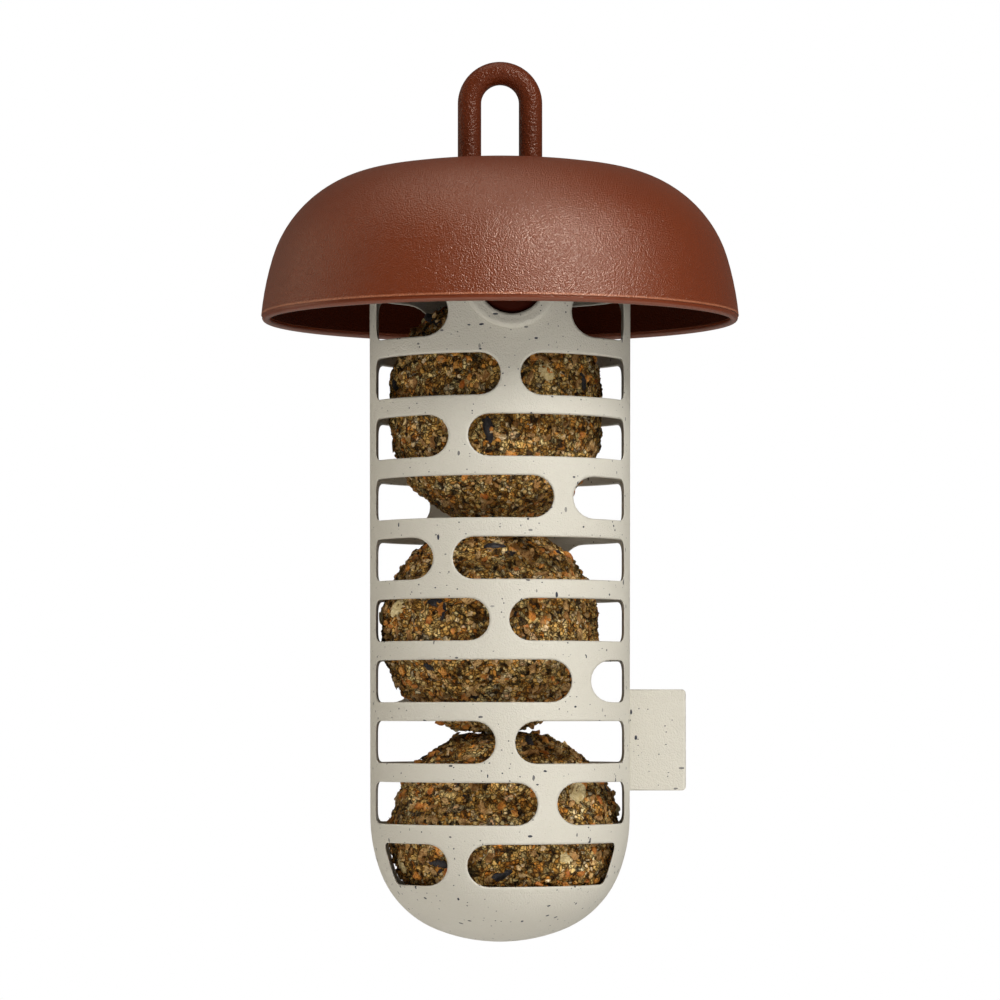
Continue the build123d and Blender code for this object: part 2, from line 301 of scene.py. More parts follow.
rust = {
    "roof": {"colour": (0.182, 0.0280, 0.0018), "deep": (0.118, 0.0155, 0.0012), "cell": 2200.0, "depth": 0.00016,
             "fine": 4300.0, "fineShare": 0.55, "roughness": 0.32, "specular": 0.95, "ior": 1.57,
             # inside: a dark colour painted on the roof's inner face above the band, painted shade under the roof;
             # insideSpecular dulls it there
             "sheen": (1, 0.82, 0.69), "inside": (0.036, 0.0052, 0.0009), "insideSpecular": 0.03,
             "band": -0.0673, "bandSoft": 0.0001, "bandGrain": 0.35, "bandDeep": 0.45,  # band: level of the rim line
             # lineUp, lineHalf, lineHighlight and edge: a lighter colour painted along a line just above the band, a
             # painted highlight
             "lineUp": 0.0003, "lineHalf": 0.0005, "lineHighlight": 0.75, "edge": (0.46, 0.17, 0.085)},
    "loop": {"colour": (0.150, 0.028, 0.0070), "deep": (0.070, 0.012, 0.003), "cell": 1500.0, "depth": 0.00022,
             "roughness": 0.33, "specular": 0.36, "sheen": (1, 0.78, 0.65)},
    "inner": {"colour": (0.080, 0.017, 0.007), "deep": (0.066, 0.013, 0.005), "cell": 1400.0, "depth": 0.00005,
              "roughness": 0.55, "specular": 0.3},
    # latch: far darker than the same brown plastic elsewhere, painted shade for the buttons that sit under the roof
    "latch": {"colour": (0.045, 0.0060, 0.0020), "deep": (0.034, 0.0045, 0.0015), "cell": 1600.0, "depth": 0.00004,
              "roughness": 0.45, "specular": 0.15},
}
rustClouds = {"noise": (38.0, 4.0), "range": (0.3, 0.7), "rougher": (-0.03, 0.04), "shadedPits": 0.6}


def rustPlastic(name):
    facts = rust[name]
    material, tree, shader, place = newMaterial("rust_" + name, facts["roughness"], facts["specular"])
    shader.inputs["Specular Tint"].default_value = grey(facts.get("sheen", 1))
    shader.inputs["IOR"].default_value = facts.get("ior", 1.5)
    grain = grained(tree, place, facts)
    clouds = noise(tree, place, *rustClouds["noise"]).outputs["Fac"]
    tone = blend(tree, clouds, facts["colour"], facts["deep"])
    # painted shade: darker towards the deep colour in the grain's hollows
    tone = blend(tree, maths(tree, "MULTIPLY", grain.outputs["Pit Shade"], rustClouds["shadedPits"]), tone, facts["deep"])
    roughness = [facts["roughness"] + change for change in rustClouds["rougher"]]
    tree.links.new(mapped(tree, clouds, *rustClouds["range"], *roughness), shader.inputs["Roughness"])
    bump = colourAndBump(tree, shader, tone, grain.outputs["Height"], facts["depth"])
    if "band" in facts:
        addRoofBand(tree, shader, facts, place, tone, grain, bump)
    return material


def addRoofBand(tree, shader, facts, place, tone, grain, bump):  # plain band, a painted highlight line above it, painted shade on the roof's inner face
    level = addNode(tree, "ShaderNodeSeparateXYZ", {0: place}).outputs["Z"]
    above = mapped(tree, level, facts["band"] - facts["bandSoft"], facts["band"] + facts["bandSoft"])
    tree.links.new(mapped(tree, above, first=facts["bandGrain"]), bump.inputs["Strength"])
    fromLine = maths(tree, "ABSOLUTE", maths(tree, "SUBTRACT", level, facts["band"] + facts["lineUp"]))
    line = mapped(tree, fromLine, 0.0, facts["lineHalf"], 1.0, 0.0, interpolation_type="SMOOTHSTEP")
    # painted highlight: the edge colour along the line above the band, broken up by the grain
    highlightGrain = maths(tree, "MULTIPLY", grain.outputs["Height"], facts["lineHighlight"])
    paintedLineHighlight = maths(tree, "MULTIPLY", line, highlightGrain, True)
    plain = maths(tree, "MULTIPLY", maths(tree, "SUBTRACT", 1.0, above), facts["bandDeep"])
    tone = blend(tree, paintedLineHighlight, blend(tree, plain, tone, facts["deep"]), facts["edge"])
    # painted shade: the inner face above the band takes the dark inside colour and almost no specular
    outward = vectorMaths(tree, "SUBTRACT", {0: place, 1: (0, 0, facts["band"])})
    normal = tree.nodes.new("ShaderNodeNewGeometry").outputs["Normal"]
    facing = vectorMaths(tree, "DOT_PRODUCT", {0: normal, 1: outward}, "Value")
    insideShadeMask = maths(tree, "MULTIPLY", maths(tree, "LESS_THAN", facing, 0.0), above)
    tree.links.new(blend(tree, insideShadeMask, tone, facts["inside"]), shader.inputs["Base Color"])
    specular = mapped(tree, insideShadeMask, 0.0, 1.0, facts["specular"], facts["insideSpecular"])
    tree.links.new(specular, shader.inputs["Specular IOR Level"])


dress(nodes["roof"], rustPlastic("roof"))
dress(nodes["hanging_loop"], rustPlastic("loop"))
dress(nodes["latch_collar"], rustPlastic("inner"))
# the latch parts take the darkened latch colour: painted shade
shadedLatchPlastic = rustPlastic("latch")
for side in ("front", "rear"):
    dress(nodes["latch_" + side], shadedLatchPlastic)
print("rust plastic done")


# cage: recycled stone-white plastic with dark flecks

stone = {"colour": (0.600, 0.580, 0.512), "shade": (0.560, 0.534, 0.458), "fleck": (0.020, 0.024, 0.040),
         "roughness": 0.5, "cell": 2300.0, "fine": 3200.0, "fineShare": 0.5, "depth": 0.00014,
         "clouds": (60.0, 5.0), "shadedPits": 0.12, "jag": (900.0, 2.0), "jagged": 0.9, "reach": 1.35,
         "faintest": 0.45, "faintShare": 0.6}
flecks = [  # cells per metre, share of cells that hold one, size, stretch and turn
    {"cells": 250.0, "held": 0.90, "size": 0.105, "stretch": (1.0, 1.0, 0.5), "turn": (0.2, 0.9, 0.2)},
    {"cells": 280.0, "held": 0.80, "size": 0.100, "stretch": (0.45, 1.0, 1.0), "turn": (0.2, 0.5, 0.3)},
    {"cells": 380.0, "held": 0.70, "size": 0.095, "stretch": (1.0, 1.0, 1.0), "turn": (0.0, 0.0, 0.0)},
    {"cells": 620.0, "held": 0.40, "size": 0.110, "stretch": (0.7, 1.0, 1.0), "turn": (0.7, 0.3, 0.1)},
]


def stonePlastic():
    material, tree, shader, place = newMaterial("speckled_stone", stone["roughness"])
    grain = grained(tree, place, stone)
    clouds = noise(tree, place, *stone["clouds"]).outputs["Fac"]
    colour = blend(tree, clouds, stone["colour"], stone["shade"])
    # painted shade: darker towards the shade colour in the grain's hollows
    colour = blend(tree, maths(tree, "MULTIPLY", grain.outputs["Pit Shade"], stone["shadedPits"]), colour, stone["shade"])
    jag = noise(tree, place, *stone["jag"]).outputs["Fac"]
    for layer in flecks:
        turned = addNode(tree, "ShaderNodeMapping", {"Vector": place, "Rotation": layer["turn"],
                                                     "Scale": layer["stretch"]})
        cells = addNode(tree, "ShaderNodeTexVoronoi", {"Vector": turned.outputs[0], "Scale": layer["cells"]})
        edge = maths(tree, "MULTIPLY", jag, layer["size"] * stone["jagged"])
        near = maths(tree, "ADD", cells.outputs["Distance"], edge)
        spot = maths(tree, "LESS_THAN", near, layer["size"] * stone["reach"])
        chance = addNode(tree, "ShaderNodeSeparateColor", {"Color": cells.outputs["Color"]})
        held = maths(tree, "LESS_THAN", chance.outputs["Red"], layer["held"])
        faint = mapped(tree, chance.outputs["Green"], 0.0, stone["faintShare"], stone["faintest"], 1.0)
        mask = maths(tree, "MULTIPLY", maths(tree, "MULTIPLY", spot, held), faint)
        colour = blend(tree, mask, colour, stone["fleck"])
    colourAndBump(tree, shader, colour, grain.outputs["Height"], stone["depth"])
    return material


stoneMaterial = stonePlastic()


# cage: its slots are drawn as seen from the front, laid on the round wall, and given soft edges

cageForm = {  # millimetres
    "radius": 37.75, "draft": 0.45, "bore": 35.5, "bowlDepth": 36.0, "bowlFloor": 2.2, "lip": 0.7,
    "joints": [(0.48, 0.0936), (0.9244, 0.5625)],  # where the bowl's arcs meet, as shares of its radius and depth
    "softOuter": 0.75, "softEnd": 0.38, "softInner": 0.4,  # how soft the slots' edges are, less so from endFrom out
    "endFrom": 27.0, "endSpan": 7.5, "softSteps": (4, 2), "roundSteps": 144, "skinStep": 2.1, "capRings": 22,
    "clear": 0.45, "holeClear": 1.3, "innerStep": 1.5,  # in steps: points keep clear of edges, more so of holes
    "lipSteps": 4, "poleGap": 0.02, "weld": 0.002,
    "partingLine": 14.9, "partingDepth": 0.09, "partingHalf": 0.16, "partingGap": 0.55,
}
slotRows = {  # millimetres; bridges, lowestEnds and topPlace are shares of the bowl's radius
    "pitch": 17.26, "height": 11.9, "lowest": 22.8, "corner": 1.5, "cornerAlong": 0.8, "cornerUp": 2.3,
    "bridge": 5.5, "outerEnd": 35.4, "endSteps": 12, "cornerSteps": 6, "cornerMost": 0.95,
    "bridges": [-0.32, 0.357, 0.04, 0.615, -0.004, -0.43, 0.48, -0.315, 0.08],
    "lowestEnds": (0.79, 0.885),
    "topHeight": 13.7, "topLevel": 24.25, "topCorner": 2.0, "topBridge": 34.8, "topPlace": 0.075,
}
latchBoss = {"turn": 5.0, "level": 15.8, "hole": 9.45, "radius": 13.6, "rise": 1.2, "edge": 1.2, "dish": 1.2,
             "bead": 2.75, "sink": 0.25, "skirt": 0.35, "foot": (0.08, 0.02),
             "steps": 72, "roundSteps": 6, "beadSteps": 5, "beadIn": 0.15}
tab = {"reach": 53.5, "low": 43.3, "high": 72.35, "thick": 2.2, "corner": 1.2, "edge": 0.5, "root": 0.9,
       "cornerSteps": 6, "edgeSteps": 4, "near": 0.1, "facing": 0.9, "smooth": 50}


def arcRun(radius, depth, low):  # tangent arcs of the bowl's outline, from its lowest point out to the wall
    start, heading = Vector((0, low)), Vector((1, 0))
    arcs = []
    for along, up in [*cageForm["joints"], (1, 1)]:
        end = Vector((radius * along, low + depth * up))
        across = Vector((-heading.y, heading.x))
        span = end - start
        reach = span.length_squared / (2 * span.dot(across))
        centre = start + across * reach
        arcs.append((end.y, centre, reach))
        spoke = end - centre
        heading = Vector((-spoke.y, spoke.x)).normalized()
        start = end
    return arcs


cageLow, cageHigh = [corner.z * 1000 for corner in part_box("cage")]
bowlTop = cageLow + cageForm["bowlDepth"]
bowlRadius = cageForm["radius"] - cageForm["draft"]
outerArcs = arcRun(bowlRadius, cageForm["bowlDepth"], cageLow)
innerArcs = arcRun(cageForm["bore"], cageForm["bowlDepth"] - cageForm["bowlFloor"], cageLow + cageForm["bowlFloor"])


def arcRadius(arcs, level):
    for top, centre, reach in arcs:
        if level <= top + 1e-6:
            return centre.x + math.sqrt(max(0.0, reach * reach - (level - centre.y) ** 2))
    return centre.x + reach


def outerRadius(level):
    if level < bowlTop:
        return arcRadius(outerArcs, level)
    return bowlRadius + cageForm["draft"] * (level - bowlTop) / (cageHigh - bowlTop)


def innerRadius(level):
    return arcRadius(innerArcs, level) if level < bowlTop else cageForm["bore"]


def onRound(turn, across, level, radius):  # a point of the drawing, laid on a cylinder as seen from its turn
    angle = turn + math.asin(max(-1.0, min(1.0, across / radius)))
    return Vector((radius * math.sin(angle), -radius * math.cos(angle), level))


def slotOutline(side, innerEnd, low, high, endLow, endHigh, corner):  # spread evenly over the bore's round
    bore, half, middle = cageForm["bore"], (high - low) / 2, (low + high) / 2
    shoulder = innerEnd + half
    slope = Vector((endHigh - endLow, high - low)).normalized()
    cut = min(corner, (min(endLow, endHigh) - shoulder) * slotRows["cornerMost"])
    points = []
    for step in range(slotRows["endSteps"] + 1):
        turn = math.radians(90 + 180 * step / slotRows["endSteps"])
        points.append((shoulder + half * math.cos(turn), middle + half * math.sin(turn)))

    def run(first, last, level):
        one, two = math.asin(first / bore), math.asin(last / bore)
        count = max(1, round(abs(two - one) * bore / cageForm["skinStep"]))
        return [(bore * math.sin(one + (two - one) * k / count), level) for k in range(1, count)]

    def rounded(tip, before, after):
        bend = []
        along, up = cut * slotRows["cornerAlong"], cut * slotRows["cornerUp"]
        first = tip - before * (along if before.y == 0 else up)
        last = tip + after * (along if after.y == 0 else up)
        for k in range(slotRows["cornerSteps"] + 1):
            t = k / slotRows["cornerSteps"]
            bend.append(first * (1 - t) ** 2 + tip * 2 * t * (1 - t) + last * t * t)
        return [tuple(point) for point in bend]

    lowCorner = rounded(Vector((endLow, low)), Vector((1, 0)), slope)
    highCorner = rounded(Vector((endHigh, high)), slope, Vector((-1, 0)))
    points += run(shoulder, lowCorner[0][0], low) + lowCorner
    span = Vector(highCorner[0]) - Vector(lowCorner[-1])
    count = max(1, round(span.length / cageForm["skinStep"]))
    points += [tuple(Vector(lowCorner[-1]) + span * k / count) for k in range(1, count)]
    points += highCorner + run(highCorner[-1][0], shoulder, high)
    outline = [(side * x, z) for x, z in points]
    return outline if side > 0 else outline[::-1]


def allSlots():
    outlines = []
    topMiddle = cageHigh - slotRows["topLevel"]
    for row, bridge in enumerate(slotRows["bridges"]):
        middle = cageLow + slotRows["lowest"] + slotRows["pitch"] * row
        low, high = middle - slotRows["height"] / 2, middle + slotRows["height"] / 2
        ends = (slotRows["outerEnd"], slotRows["outerEnd"])
        if row == 0:
            ends = tuple(bowlRadius * share for share in slotRows["lowestEnds"])
        for side in (-1, 1):
            innerEnd = side * bowlRadius * bridge + slotRows["bridge"] / 2
            outlines.append(slotOutline(side, innerEnd, low, high, *ends, slotRows["corner"]))
    low, high = topMiddle - slotRows["topHeight"] / 2, topMiddle + slotRows["topHeight"] / 2
    for side in (-1, 1):
        innerEnd = side * bowlRadius * slotRows["topPlace"] + slotRows["topBridge"] / 2
        outlines.append(slotOutline(side, innerEnd, low, high, slotRows["outerEnd"], slotRows["outerEnd"],
                                    slotRows["topCorner"]))
    return outlines


def flat(turn, across, level, radius):  # the same point on the unrolled wall: length round the outside, and level
    return Vector(((turn + math.asin(max(-1.0, min(1.0, across / radius)))) * cageForm["radius"], level))


def grown(loop, amounts):  # a closed loop on the unrolled wall, moved out by an amount at each point
    moved = []
    for k, point in enumerate(loop):
        along = (loop[(k + 1) % len(loop)] - loop[k - 1]).normalized()
        moved.append(point + Vector((along.y, -along.x)) * amounts[k])
    return moved


def holds(loop, point):
    inside = False
    for a, b in zip(loop, loop[1:] + loop[:1]):
        if (a.y > point.y) != (b.y > point.y):
            if point.x < a.x + (point.y - a.y) * (b.x - a.x) / (b.y - a.y):
                inside = not inside
    return inside


def rolled(point, radiusAt):
    angle = point.x / cageForm["radius"]
    radius = radiusAt(point.y)
    return Vector((radius * math.sin(angle), -radius * math.cos(angle), point.y))


class Skin:  # faces gathered as points; the shared points are merged at the end

    def __init__(self):
        self.points, self.faces = [], []

    def add(self, corners, flip=False):
        start = len(self.points)
        self.points += corners
        order = list(range(start, start + len(corners)))
        self.faces.append(order[::-1] if flip else order)

    def strip(self, first, second, flip=False, closed=True):
        count = len(first)
        for k in range(count if closed else count - 1):
            n = (k + 1) % count
            self.add([first[k], first[n], second[n], second[k]], flip)


def skinOf(skin, loops, low, high, step, radiusAt, flip):  # the wall between two levels, filled round its holes
    left = -math.pi / 2 * cageForm["radius"]
    width = 2 * math.pi * cageForm["radius"]
    around = cageForm["roundSteps"]
    rows = max(2, round((high - low) / step))
    points = []
    for k in range(around):
        points.append(Vector((left + width * k / around, low)))
    for k in range(rows):
        points.append(Vector((left + width, low + (high - low) * k / rows)))
    for k in range(around):
        points.append(Vector((left + width - width * k / around, high)))
    for k in range(rows):
        points.append(Vector((left, high - (high - low) * k / rows)))
    edges = [(k, (k + 1) % len(points)) for k in range(len(points))]
    holes = []
    for loop in loops:
        start = len(points)
        points += loop
        edges += [(start + k, start + (k + 1) % len(loop)) for k in range(len(loop))]
        xs, ys = [p.x for p in loop], [p.y for p in loop]
        holes.append((min(xs), max(xs), min(ys), max(ys), loop))
    columns = round(width / step)
    clear = cageForm["clear"] * step
    for i in range(1, columns):
        for j in range(1, rows):
            point = Vector((left + width * (i + 0.5 * (j % 2)) / columns, low + (high - low) * j / rows))
            if left + clear < point.x < left + width - clear:
                for x0, x1, y0, y1, loop in holes:
                    if x0 - clear < point.x < x1 + clear and y0 - clear < point.y < y1 + clear:
                        if holds(loop, point) or min((point - p).length for p in loop) < clear * cageForm["holeClear"]:
                            break
                else:
                    points.append(point)
    found, _, triangles, *_ = delaunay_2d_cdt(points, edges, [], 0, 1e-5)
    for triangle in triangles:
        corners = [found[k] for k in triangle]
        middle = (corners[0] + corners[1] + corners[2]) / 3
        if any(x0 < middle.x < x1 and y0 < middle.y < y1 and holds(loop, middle) for x0, x1, y0, y1, loop in holes):
            continue
        skin.add([rolled(point, radiusAt) for point in corners], flip)


def softEdge(first, corner, last, steps):  # rows of points that turn softly over a corner
    rows = []
    for k in range(steps + 1):
        t = k / steps
        rows.append([a * (1 - t) ** 2 + c * 2 * t * (1 - t) + b * t * t for a, c, b in zip(first, corner, last)])
    return rows


def ringAt(radius, level):
    left = -math.pi / 2
    count = cageForm["roundSteps"]
    return [Vector((radius * math.sin(left + 2 * math.pi * k / count),
                    -radius * math.cos(left + 2 * math.pi * k / count), level)) for k in range(count)]


def lathe(skin, profile, flip=False):
    rings = [ringAt(radius, level) for radius, level in profile]
    for first, second in zip(rings, rings[1:]):
        skin.strip(first, second, flip)


def bowlCap(skin, arcs, low, flip, profile):
    top = profile[-1][1]
    count = cageForm["capRings"]
    for k in range(1, count):
        level = low + (top - low) * math.cos(math.pi / 2 * k / count) ** 2
        if level - low > cageForm["poleGap"]:
            profile.append((arcRadius(arcs, level), level))
    lathe(skin, profile, flip)
    last = ringAt(*profile[-1])
    pole = Vector((0, 0, low))
    for k in range(len(last)):
        skin.add([last[k], last[(k + 1) % len(last)], pole], flip)


def quarter(steps):  # the angles of a quarter turn
    return [math.radians(90 * k / steps) for k in range(steps + 1)]


def skinRows(skin, rows):
    for first, second in zip(rows, rows[1:]):
        skin.strip(first, second)


def addSlots(skin, turn, outerLoops, innerLoops):
    softInner = cageForm["softInner"]
    for outline in allSlots():
        soft = []
        for x, _ in outline:
            near = max(0.0, min(1.0, (abs(x) - cageForm["endFrom"]) / cageForm["endSpan"]))
            soft.append(cageForm["softOuter"] + (cageForm["softEnd"] - cageForm["softOuter"]) * near)
        outerLoop = grown([flat(turn, x, z, outerRadius(z)) for x, z in outline], soft)
        innerLoop = grown([flat(turn, x, z, innerRadius(z)) for x, z in outline], [softInner] * len(outline))
        outerLoops.append(outerLoop)
        innerLoops.append(innerLoop)
        corner = [onRound(turn, x, z, outerRadius(z)) for x, z in outline]
        wallOut = [onRound(turn, x, z, outerRadius(z) - s) for (x, z), s in zip(outline, soft)]
        cornerIn = [onRound(turn, x, z, innerRadius(z)) for x, z in outline]
        wallIn = [onRound(turn, x, z, innerRadius(z) + softInner) for x, z in outline]
        rows = softEdge([rolled(p, outerRadius) for p in outerLoop], corner, wallOut, cageForm["softSteps"][0])
        rows += softEdge(wallIn, cornerIn, [rolled(p, innerRadius) for p in innerLoop], cageForm["softSteps"][1])
        skinRows(skin, rows)


def bossProfile():  # from the wall up the rim, over the bead, down the dish and into the hole
    face = cageForm["radius"] + latchBoss["rise"]
    edge, dish, sink = latchBoss["edge"], latchBoss["dish"], latchBoss["sink"]
    crest = latchBoss["radius"] - edge
    profile = [(latchBoss["radius"] + latchBoss["foot"][0], cageForm["radius"] + latchBoss["foot"][1])]
    for angle in quarter(latchBoss["roundSteps"]):
        profile.append((crest + edge * math.cos(angle), face - edge + edge * math.sin(angle)))
    steps = latchBoss["beadSteps"]
    for k in range(1, steps + 1):
        fall = (1 - math.cos(math.pi * k / steps)) / 2
        profile.append((crest - (latchBoss["bead"] - edge) * k / steps - latchBoss["beadIn"], face - sink * fall))
    for angle in quarter(latchBoss["roundSteps"]):
        profile.append((latchBoss["hole"] + dish * (1 - math.sin(angle)), face - sink - dish * (1 - math.cos(angle))))
    profile.append((latchBoss["hole"], cageForm["bore"] + cageForm["softInner"]))
    return profile


def addBoss(skin, turn, outerLoops, innerLoops):
    level = cageHigh - latchBoss["level"]

    def ring(reach, radius):  # the radius is a number or is asked for at each level
        spots = []
        for k in range(latchBoss["steps"]):
            angle = 2 * math.pi * k / latchBoss["steps"]
            z = level + reach * math.sin(angle)
            spots.append((reach * math.cos(angle), z, radius(z) if callable(radius) else radius))
        return spots

    base = [flat(turn, *spot) for spot in ring(latchBoss["radius"] + latchBoss["skirt"], outerRadius)]
    inner = [flat(turn, *spot) for spot in ring(latchBoss["hole"] + cageForm["softInner"], innerRadius)]
    outerLoops.append(base)
    innerLoops.append(inner)
    rows = [[onRound(turn, *spot) for spot in ring(*place)] for place in bossProfile()]
    skinRows(skin, [[rolled(p, outerRadius) for p in base], *rows, [rolled(p, innerRadius) for p in inner]])


def addLipAndBowl(skin, low, high):
    lip, turns = cageForm["lip"], quarter(cageForm["lipSteps"])
    profile = [(outerRadius(high) - lip + lip * math.cos(angle), high + lip * math.sin(angle)) for angle in turns]
    profile += [(cageForm["bore"] + lip - lip * math.sin(angle), high + lip * math.cos(angle)) for angle in turns]
    lathe(skin, profile)
    line, half = cageLow + cageForm["partingLine"], cageForm["partingHalf"]
    groove = [(outerRadius(low), low)]
    for offset, depth in ((half, 0.0), (0.0, cageForm["partingDepth"]), (-half, 0.0)):
        groove.append((outerRadius(line + offset) - depth, line + offset))
    bowlCap(skin, outerArcs, cageLow, True, groove)
    bowlCap(skin, innerArcs, cageLow + cageForm["bowlFloor"], False, [(innerRadius(low), low)])


def buildCage():
    skin = Skin()
    outerLoops, innerLoops = [], []
    for turn in (0.0, math.pi):
        addSlots(skin, turn, outerLoops, innerLoops)
    for turn in (0.0, math.pi):
        addBoss(skin, turn + math.radians(latchBoss["turn"]), outerLoops, innerLoops)
    low = cageLow + cageForm["partingLine"] + cageForm["partingGap"]
    high = cageHigh - cageForm["lip"]
    skinOf(skin, outerLoops, low, high, cageForm["skinStep"], outerRadius, False)
    skinOf(skin, innerLoops, low, high, cageForm["skinStep"] * cageForm["innerStep"], innerRadius, True)
    addLipAndBowl(skin, low, high)
    mesh = bpy.data.meshes.new("cage_moulded")
    mesh.from_pydata([point / 1000 for point in skin.points], [], skin.faces)
    cage = bpy.data.objects.new("cage_moulded", mesh)
    scene.collection.objects.link(cage)
    pick(cage)
    bpy.ops.object.mode_set(mode="EDIT")
    bpy.ops.mesh.select_all(action="SELECT")
    bpy.ops.mesh.remove_doubles(threshold=cageForm["weld"] / 1000)
    bpy.ops.mesh.normals_make_consistent(inside=False)
    bpy.ops.object.mode_set(mode="OBJECT")
    bpy.ops.object.shade_smooth()
    return cage


def buildTab():  # the plain plate that stands off the cage's side
    deselectAll()
    bpy.ops.mesh.primitive_cube_add(size=1)
    plate = bpy.context.object
    plate.name = "side_tab_plate"
    inner, outer = (cageForm["bore"] + tab["root"]) / 1000, tab["reach"] / 1000
    low, high = (cageLow + tab["low"]) / 1000, (cageLow + tab["high"]) / 1000
    plate.scale = (outer - inner, tab["thick"] / 1000, high - low)
    plate.location = ((inner + outer) / 2, 0, (low + high) / 2)
    placeInMesh(plate)
    bpy.ops.object.mode_set(mode="EDIT")
    bpy.ops.mesh.select_all(action="DESELECT")
    bpy.ops.object.mode_set(mode="OBJECT")
    for edge in plate.data.edges:
        one, two = [plate.data.vertices[k].co for k in edge.vertices]
        edge.select = abs(one.y - two.y) > tab["thick"] / 2000 and one.x > outer - tab["near"] / 1000
    bpy.ops.object.mode_set(mode="EDIT")
    bpy.ops.mesh.select_mode(type="EDGE")
    bpy.ops.mesh.bevel(offset=tab["corner"] / 1000, segments=tab["cornerSteps"])
    bpy.ops.object.mode_set(mode="OBJECT")
    for polygon in plate.data.polygons:
        polygon.select = abs(polygon.normal.y) > tab["facing"]
    bpy.ops.object.mode_set(mode="EDIT")
    bpy.ops.mesh.select_mode(type="FACE")
    bpy.ops.mesh.region_to_loop()
    bpy.ops.mesh.bevel(offset=tab["edge"] / 1000, segments=tab["edgeSteps"])
    bpy.ops.object.mode_set(mode="OBJECT")
    bpy.ops.object.shade_smooth_by_angle(angle=math.radians(tab["smooth"]))
    return plate


cageObject = buildCage()
tabObject = buildTab()
deselectAll()
tabObject.select_set(True)
cageObject.select_set(True)
bpy.context.view_layer.objects.active = cageObject
bpy.ops.object.join()
weigh = cageObject.modifiers.new("weigh", "WEIGHTED_NORMAL")
weigh.keep_sharp = True
applyAll(cageObject)
dress(cageObject, stoneMaterial)
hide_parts("cage")
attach(cageObject, "cage_assembly")
print("cage done", len(cageObject.data.polygons))


# suet: a crumbly pressed mass

# creviceShade and hollowShade: near-black colours painted into the gaps between crumbs and into hollows, painted shade
suet = {"creviceShade": (0.070, 0.031, 0.004), "hollowShade": (0.018, 0.009, 0.003), "roughness": 0.65, "specular": 0.25,
        "bits": [(420.0, 1.0, 0.06), (900.0, 0.55, 0.11)],  # cells per metre, share of the colour, width of the gap
        "warp": (300.0, 3.0, 0.0022), "gapShade": 0.90, "shadedPits": (520.0, 4.0), "pitRange": (0.45, 0.38),
        "pitShade": 0.85, "fine": (2400.0, 3.0), "relief": (0.6, 0.35, 0.4, 0.5, -0.8), "depth": 0.0013}
crumbs = {  # colours of the pressed bits, with the part of the cells that each takes
    0.00: (0.140, 0.060, 0.009),
    0.16: (0.640, 0.340, 0.075),
    0.36: (0.950, 0.610, 0.190),
    0.56: (0.450, 0.210, 0.034),
    0.70: (0.950, 0.755, 0.340),
    0.82: (0.782, 0.283, 0.039),
    0.92: (0.950, 0.800, 0.510),
    0.975: (0.030, 0.024, 0.022),
}


def suetMaterial():
    material, tree, shader, place = newMaterial("pressed_suet", suet["roughness"], suet["specular"])
    crumbled = warped(tree, place, *suet["warp"])
    gaps, chances = [], []
    colour = suet["creviceShade"]
    for cells, share, gap in suet["bits"]:
        bits = addNode(tree, "ShaderNodeTexVoronoi", {"Vector": crumbled, "Scale": cells})
        edge = addNode(tree, "ShaderNodeTexVoronoi", {"Vector": crumbled, "Scale": cells}, feature="DISTANCE_TO_EDGE")
        gaps.append(mapped(tree, edge.outputs["Distance"], 0.0, gap))
        chances.append(addNode(tree, "ShaderNodeSeparateColor", {"Color": bits.outputs["Color"]}).outputs["Red"])
        colour = blend(tree, share, colour, steppedRamp(tree, chances[-1], sorted(crumbs.items())))
    # painted shade: the gaps between crumbs darken towards the near-black crevice colour
    depth = maths(tree, "MULTIPLY", gaps[1], gaps[0])
    colour = blend(tree, mapped(tree, depth, 0.0, 1.0, suet["gapShade"], 0.0), colour, suet["creviceShade"])
    # painted shade in the hollows, which the bump also sinks
    hollowShade = mapped(tree, noise(tree, crumbled, *suet["shadedPits"]).outputs["Fac"], *suet["pitRange"])
    colour = blend(tree, maths(tree, "MULTIPLY", hollowShade, suet["pitShade"]), colour, suet["hollowShade"])
    height = 0.0
    fine = noise(tree, place, *suet["fine"]).outputs["Fac"]
    for part, weight in zip((depth, fine, *chances, hollowShade), suet["relief"]):
        height = maths(tree, "ADD", height, maths(tree, "MULTIPLY", part, weight))
    colourAndBump(tree, shader, colour, height, suet["depth"])
    return material


balls = {
    "lower": {"radius": 0.0283, "belt": 0.0084, "upright": False, "seed": 11},
    "middle": {"radius": 0.0296, "belt": 0.0028, "upright": False, "seed": 23},
    "upper": {"radius": 0.0307, "belt": 0.0054, "upright": True, "seed": 37},
}
ballFacets = 7
lumps = [  # wavelength, depth, middle level and kind of the ball's roughness
    {"size": 0.0105, "depth": 0.0018, "level": 0.30, "noise": "SOFT_NOISE"},
    {"size": 0.0032, "depth": 0.0013, "level": 0.45, "noise": "HARD_NOISE"},
    {"size": 0.0012, "depth": 0.0010, "level": 0.55, "noise": "HARD_NOISE"},
]
seeds = {  # number on each ball, length, width and thickness, how deep they sit, and how rough they are
    "corn": {"count": 190, "size": (0.0028, 0.0018, 0.0015), "sunk": 0.22, "rough": 0.26, "spread": 0.45},
    "grain": {"count": 420, "size": (0.0015, 0.0011, 0.0009), "sunk": 0.10, "rough": 0.35, "spread": 0.45},
    "flake": {"count": 520, "size": (0.0026, 0.0014, 0.0007), "sunk": 0.00, "rough": 0.40, "spread": 0.50},
    "husk": {"count": 16, "size": (0.0056, 0.0024, 0.0012), "sunk": 0.15, "rough": 0.22, "spread": 0.35, "curl": 1.8},
    "fat": {"count": 6, "size": (0.0060, 0.0048, 0.0034), "sunk": 0.34, "rough": 0.20, "spread": 0.30, "facets": 3},
}
